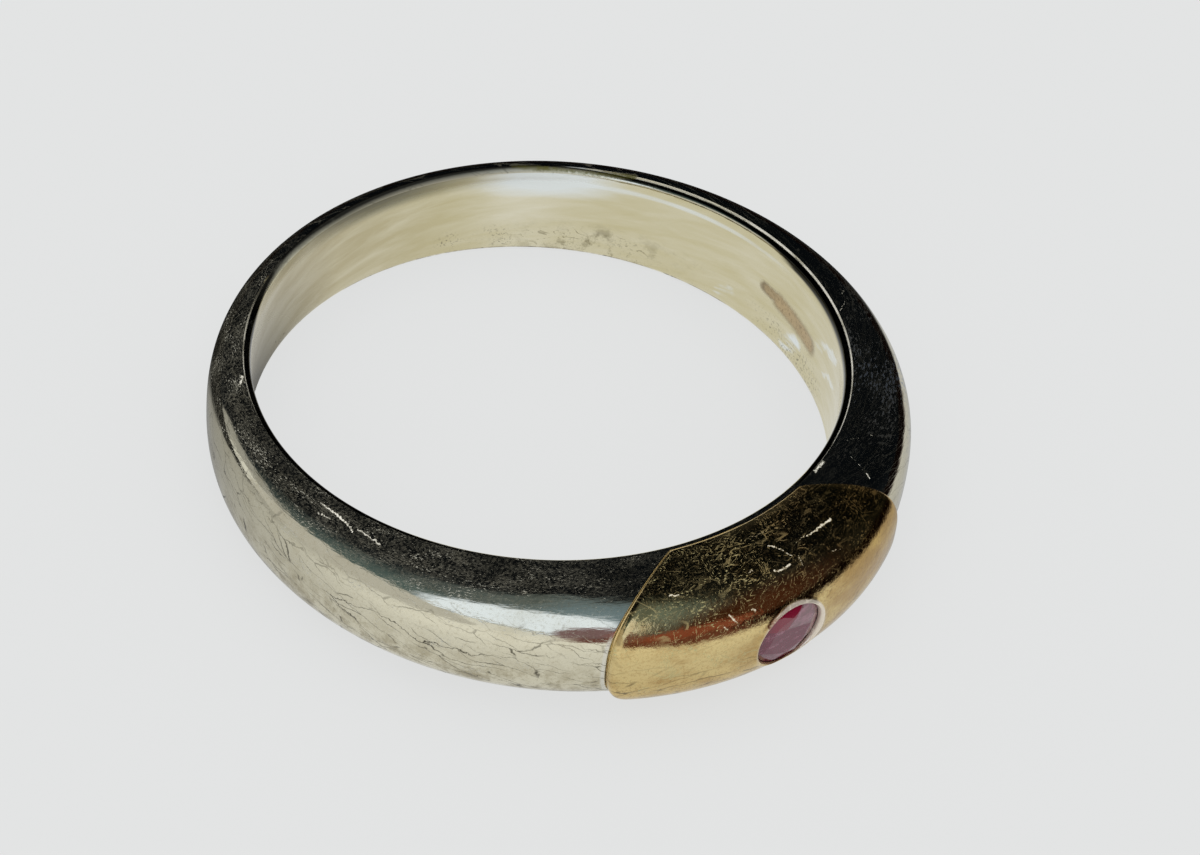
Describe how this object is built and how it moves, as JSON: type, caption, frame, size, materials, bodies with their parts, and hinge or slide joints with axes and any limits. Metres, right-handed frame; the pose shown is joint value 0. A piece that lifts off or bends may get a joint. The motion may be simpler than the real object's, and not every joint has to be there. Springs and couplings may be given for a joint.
{
  "type": "inlay band ring",
  "caption": "Tapered white-metal finger ring with a pillowed yellow-gold inlay over its widest part and a small round red stone set flush in it, lying on its side.",
  "frame": {"origin": "centre of the finger hole, half-way along its wall, with the ring lying on its side", "axes": "+Z along the axis of the finger hole and up from the surface the ring lies on; the inlay and the stone face -Y, the narrow back of the band +Y"},
  "size_m": [0.0204, 0.0212, 0.0044],
  "materials": {
    "silver": "polished silver with fine wear scratches and slight tarnish",
    "gold": "polished yellow gold with fine wear scratches",
    "ruby": "faceted ruby, its table slightly worn and hazy"
  },
  "bodies": {
    "root": {"band": "silver", "inlay": "gold", "stone": "ruby"}
  },
  "joints": []
}
